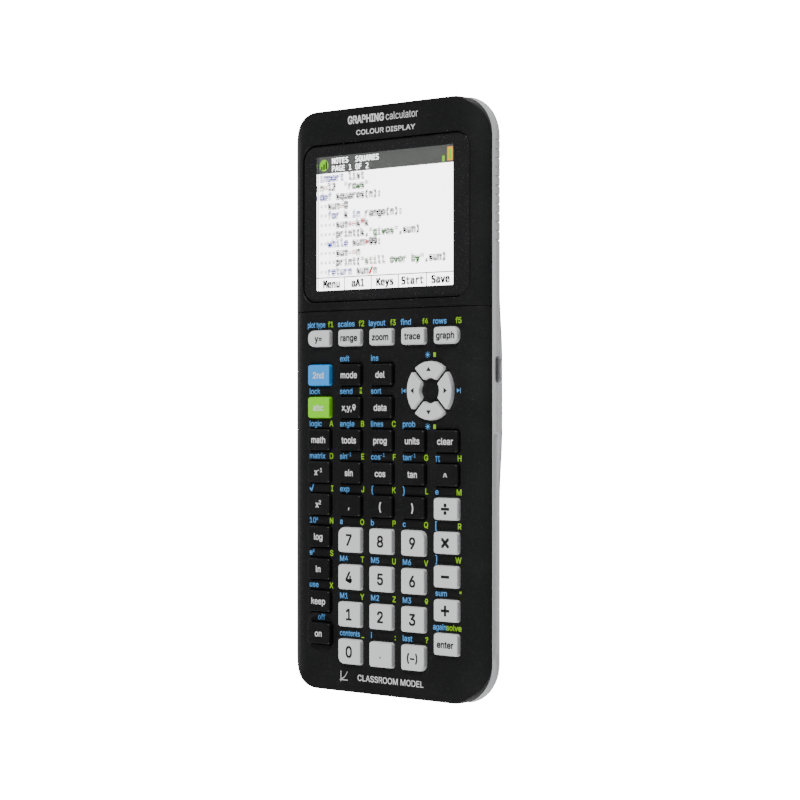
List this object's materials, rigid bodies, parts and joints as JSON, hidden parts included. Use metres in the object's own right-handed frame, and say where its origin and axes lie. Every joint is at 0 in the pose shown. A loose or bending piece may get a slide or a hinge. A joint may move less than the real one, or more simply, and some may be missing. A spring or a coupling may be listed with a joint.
{
  "type": "graphing calculator",
  "caption": "Hand-held graphing calculator with a colour display, rows of sprung keys, a ring of arrow keys and a charging socket in its side.",
  "frame": {"origin": "on the surface under the feet, below the middle of the body", "axes": "+X to the right of the keypad, +Y from the keypad to the display, +Z out of the face"},
  "size_m": [0.085, 0.1862, 0.0164],
  "materials": {
    "black_shell": "fine satin grain",
    "grey_shell": "satin",
    "dark_key": "satin",
    "light_key": "satin",
    "blue_key": "satin",
    "green_key": "satin",
    "window": "polished, with a black printed border",
    "display": "smooth",
    "board": "solder mask",
    "mat": "matte",
    "battery": "printed wrap",
    "steel": "plain"
  },
  "bodies": {
    "case": {"front_cover": "black_shell", "rear_cover": "grey_shell", "display_window": "window", "display_panel": "display", "main_board": "board", "key_mat": "mat", "battery_pack": "battery", "battery_cover": "grey_shell", "usb_socket": "steel", "battery_cover_screw": "steel"},
    "key_y_equals": {"key_y_equals": "light_key"},
    "key_window": {"key_window": "light_key"},
    "key_zoom": {"key_zoom": "light_key"},
    "key_trace": {"key_trace": "light_key"},
    "key_graph": {"key_graph": "light_key"},
    "key_second": {"key_second": "blue_key"},
    "key_mode": {"key_mode": "dark_key"},
    "key_delete": {"key_delete": "dark_key"},
    "key_alpha": {"key_alpha": "green_key"},
    "key_variable": {"key_variable": "dark_key"},
    "key_stat": {"key_stat": "dark_key"},
    "key_math": {"key_math": "dark_key"},
    "key_apps": {"key_apps": "dark_key"},
    "key_program": {"key_program": "dark_key"},
    "key_vars": {"key_vars": "dark_key"},
    "key_clear": {"key_clear": "dark_key"},
    "key_inverse": {"key_inverse": "dark_key"},
    "key_sine": {"key_sine": "dark_key"},
    "key_cosine": {"key_cosine": "dark_key"},
    "key_tangent": {"key_tangent": "dark_key"},
    "key_power": {"key_power": "dark_key"},
    "key_square": {"key_square": "dark_key"},
    "key_comma": {"key_comma": "dark_key"},
    "key_open_bracket": {"key_open_bracket": "dark_key"},
    "key_close_bracket": {"key_close_bracket": "dark_key"},
    "key_divide": {"key_divide": "light_key"},
    "key_log": {"key_log": "dark_key"},
    "key_7": {"key_7": "light_key"},
    "key_8": {"key_8": "light_key"},
    "key_9": {"key_9": "light_key"},
    "key_multiply": {"key_multiply": "light_key"},
    "key_natural_log": {"key_natural_log": "dark_key"},
    "key_4": {"key_4": "light_key"},
    "key_5": {"key_5": "light_key"},
    "key_6": {"key_6": "light_key"},
    "key_minus": {"key_minus": "light_key"},
    "key_store": {"key_store": "dark_key"},
    "key_1": {"key_1": "light_key"},
    "key_2": {"key_2": "light_key"},
    "key_3": {"key_3": "light_key"},
    "key_plus": {"key_plus": "light_key"},
    "key_on": {"key_on": "dark_key"},
    "key_0": {"key_0": "light_key"},
    "key_point": {"key_point": "light_key"},
    "key_negative": {"key_negative": "light_key"},
    "key_enter": {"key_enter": "light_key"},
    "key_up": {"key_up": "light_key"},
    "key_down": {"key_down": "light_key"},
    "key_left": {"key_left": "light_key"},
    "key_right": {"key_right": "light_key"}
  },
  "joints": [
    {"name": "press_y_equals", "type": "slide", "parent": "case", "child": "key_y_equals", "axis": [0, 0, -1], "range_m": [0, 0.0007], "stiffness_N_per_m": 300, "springref_m": -0.001},
    {"name": "press_window", "type": "slide", "parent": "case", "child": "key_window", "axis": [0, 0, -1], "range_m": [0, 0.0007], "stiffness_N_per_m": 300, "springref_m": -0.001},
    {"name": "press_zoom", "type": "slide", "parent": "case", "child": "key_zoom", "axis": [0, 0, -1], "range_m": [0, 0.0007], "stiffness_N_per_m": 300, "springref_m": -0.001},
    {"name": "press_trace", "type": "slide", "parent": "case", "child": "key_trace", "axis": [0, 0, -1], "range_m": [0, 0.0007], "stiffness_N_per_m": 300, "springref_m": -0.001},
    {"name": "press_graph", "type": "slide", "parent": "case", "child": "key_graph", "axis": [0, 0, -1], "range_m": [0, 0.0007], "stiffness_N_per_m": 300, "springref_m": -0.001},
    {"name": "press_second", "type": "slide", "parent": "case", "child": "key_second", "axis": [0, 0, -1], "range_m": [0, 0.0007], "stiffness_N_per_m": 300, "springref_m": -0.001},
    {"name": "press_mode", "type": "slide", "parent": "case", "child": "key_mode", "axis": [0, 0, -1], "range_m": [0, 0.0007], "stiffness_N_per_m": 300, "springref_m": -0.001},
    {"name": "press_delete", "type": "slide", "parent": "case", "child": "key_delete", "axis": [0, 0, -1], "range_m": [0, 0.0007], "stiffness_N_per_m": 300, "springref_m": -0.001},
    {"name": "press_alpha", "type": "slide", "parent": "case", "child": "key_alpha", "axis": [0, 0, -1], "range_m": [0, 0.0007], "stiffness_N_per_m": 300, "springref_m": -0.001},
    {"name": "press_variable", "type": "slide", "parent": "case", "child": "key_variable", "axis": [0, 0, -1], "range_m": [0, 0.0007], "stiffness_N_per_m": 300, "springref_m": -0.001},
    {"name": "press_stat", "type": "slide", "parent": "case", "child": "key_stat", "axis": [0, 0, -1], "range_m": [0, 0.0007], "stiffness_N_per_m": 300, "springref_m": -0.001},
    {"name": "press_math", "type": "slide", "parent": "case", "child": "key_math", "axis": [0, 0, -1], "range_m": [0, 0.0007], "stiffness_N_per_m": 300, "springref_m": -0.001},
    {"name": "press_apps", "type": "slide", "parent": "case", "child": "key_apps", "axis": [0, 0, -1], "range_m": [0, 0.0007], "stiffness_N_per_m": 300, "springref_m": -0.001},
    {"name": "press_program", "type": "slide", "parent": "case", "child": "key_program", "axis": [0, 0, -1], "range_m": [0, 0.0007], "stiffness_N_per_m": 300, "springref_m": -0.001},
    {"name": "press_vars", "type": "slide", "parent": "case", "child": "key_vars", "axis": [0, 0, -1], "range_m": [0, 0.0007], "stiffness_N_per_m": 300, "springref_m": -0.001},
    {"name": "press_clear", "type": "slide", "parent": "case", "child": "key_clear", "axis": [0, 0, -1], "range_m": [0, 0.0007], "stiffness_N_per_m": 300, "springref_m": -0.001},
    {"name": "press_inverse", "type": "slide", "parent": "case", "child": "key_inverse", "axis": [0, 0, -1], "range_m": [0, 0.0007], "stiffness_N_per_m": 300, "springref_m": -0.001},
    {"name": "press_sine", "type": "slide", "parent": "case", "child": "key_sine", "axis": [0, 0, -1], "range_m": [0, 0.0007], "stiffness_N_per_m": 300, "springref_m": -0.001},
    {"name": "press_cosine", "type": "slide", "parent": "case", "child": "key_cosine", "axis": [0, 0, -1], "range_m": [0, 0.0007], "stiffness_N_per_m": 300, "springref_m": -0.001},
    {"name": "press_tangent", "type": "slide", "parent": "case", "child": "key_tangent", "axis": [0, 0, -1], "range_m": [0, 0.0007], "stiffness_N_per_m": 300, "springref_m": -0.001},
    {"name": "press_power", "type": "slide", "parent": "case", "child": "key_power", "axis": [0, 0, -1], "range_m": [0, 0.0007], "stiffness_N_per_m": 300, "springref_m": -0.001},
    {"name": "press_square", "type": "slide", "parent": "case", "child": "key_square", "axis": [0, 0, -1], "range_m": [0, 0.0007], "stiffness_N_per_m": 300, "springref_m": -0.001},
    {"name": "press_comma", "type": "slide", "parent": "case", "child": "key_comma", "axis": [0, 0, -1], "range_m": [0, 0.0007], "stiffness_N_per_m": 300, "springref_m": -0.001},
    {"name": "press_open_bracket", "type": "slide", "parent": "case", "child": "key_open_bracket", "axis": [0, 0, -1], "range_m": [0, 0.0007], "stiffness_N_per_m": 300, "springref_m": -0.001},
    {"name": "press_close_bracket", "type": "slide", "parent": "case", "child": "key_close_bracket", "axis": [0, 0, -1], "range_m": [0, 0.0007], "stiffness_N_per_m": 300, "springref_m": -0.001},
    {"name": "press_divide", "type": "slide", "parent": "case", "child": "key_divide", "axis": [0, 0, -1], "range_m": [0, 0.0007], "stiffness_N_per_m": 300, "springref_m": -0.001},
    {"name": "press_log", "type": "slide", "parent": "case", "child": "key_log", "axis": [0, 0, -1], "range_m": [0, 0.0007], "stiffness_N_per_m": 300, "springref_m": -0.001},
    {"name": "press_7", "type": "slide", "parent": "case", "child": "key_7", "axis": [0, 0, -1], "range_m": [0, 0.0007], "stiffness_N_per_m": 300, "springref_m": -0.001},
    {"name": "press_8", "type": "slide", "parent": "case", "child": "key_8", "axis": [0, 0, -1], "range_m": [0, 0.0007], "stiffness_N_per_m": 300, "springref_m": -0.001},
    {"name": "press_9", "type": "slide", "parent": "case", "child": "key_9", "axis": [0, 0, -1], "range_m": [0, 0.0007], "stiffness_N_per_m": 300, "springref_m": -0.001},
    {"name": "press_multiply", "type": "slide", "parent": "case", "child": "key_multiply", "axis": [0, 0, -1], "range_m": [0, 0.0007], "stiffness_N_per_m": 300, "springref_m": -0.001},
    {"name": "press_natural_log", "type": "slide", "parent": "case", "child": "key_natural_log", "axis": [0, 0, -1], "range_m": [0, 0.0007], "stiffness_N_per_m": 300, "springref_m": -0.001},
    {"name": "press_4", "type": "slide", "parent": "case", "child": "key_4", "axis": [0, 0, -1], "range_m": [0, 0.0007], "stiffness_N_per_m": 300, "springref_m": -0.001},
    {"name": "press_5", "type": "slide", "parent": "case", "child": "key_5", "axis": [0, 0, -1], "range_m": [0, 0.0007], "stiffness_N_per_m": 300, "springref_m": -0.001},
    {"name": "press_6", "type": "slide", "parent": "case", "child": "key_6", "axis": [0, 0, -1], "range_m": [0, 0.0007], "stiffness_N_per_m": 300, "springref_m": -0.001},
    {"name": "press_minus", "type": "slide", "parent": "case", "child": "key_minus", "axis": [0, 0, -1], "range_m": [0, 0.0007], "stiffness_N_per_m": 300, "springref_m": -0.001},
    {"name": "press_store", "type": "slide", "parent": "case", "child": "key_store", "axis": [0, 0, -1], "range_m": [0, 0.0007], "stiffness_N_per_m": 300, "springref_m": -0.001},
    {"name": "press_1", "type": "slide", "parent": "case", "child": "key_1", "axis": [0, 0, -1], "range_m": [0, 0.0007], "stiffness_N_per_m": 300, "springref_m": -0.001},
    {"name": "press_2", "type": "slide", "parent": "case", "child": "key_2", "axis": [0, 0, -1], "range_m": [0, 0.0007], "stiffness_N_per_m": 300, "springref_m": -0.001},
    {"name": "press_3", "type": "slide", "parent": "case", "child": "key_3", "axis": [0, 0, -1], "range_m": [0, 0.0007], "stiffness_N_per_m": 300, "springref_m": -0.001},
    {"name": "press_plus", "type": "slide", "parent": "case", "child": "key_plus", "axis": [0, 0, -1], "range_m": [0, 0.0007], "stiffness_N_per_m": 300, "springref_m": -0.001},
    {"name": "press_on", "type": "slide", "parent": "case", "child": "key_on", "axis": [0, 0, -1], "range_m": [0, 0.0007], "stiffness_N_per_m": 300, "springref_m": -0.001},
    {"name": "press_0", "type": "slide", "parent": "case", "child": "key_0", "axis": [0, 0, -1], "range_m": [0, 0.0007], "stiffness_N_per_m": 300, "springref_m": -0.001},
    {"name": "press_point", "type": "slide", "parent": "case", "child": "key_point", "axis": [0, 0, -1], "range_m": [0, 0.0007], "stiffness_N_per_m": 300, "springref_m": -0.001},
    {"name": "press_negative", "type": "slide", "parent": "case", "child": "key_negative", "axis": [0, 0, -1], "range_m": [0, 0.0007], "stiffness_N_per_m": 300, "springref_m": -0.001},
    {"name": "press_enter", "type": "slide", "parent": "case", "child": "key_enter", "axis": [0, 0, -1], "range_m": [0, 0.0007], "stiffness_N_per_m": 300, "springref_m": -0.001},
    {"name": "press_up", "type": "slide", "parent": "case", "child": "key_up", "axis": [0, 0, -1], "range_m": [0, 0.0007], "stiffness_N_per_m": 300, "springref_m": -0.001},
    {"name": "press_down", "type": "slide", "parent": "case", "child": "key_down", "axis": [0, 0, -1], "range_m": [0, 0.0007], "stiffness_N_per_m": 300, "springref_m": -0.001},
    {"name": "press_left", "type": "slide", "parent": "case", "child": "key_left", "axis": [0, 0, -1], "range_m": [0, 0.0007], "stiffness_N_per_m": 300, "springref_m": -0.001},
    {"name": "press_right", "type": "slide", "parent": "case", "child": "key_right", "axis": [0, 0, -1], "range_m": [0, 0.0007], "stiffness_N_per_m": 300, "springref_m": -0.001}
  ]
}
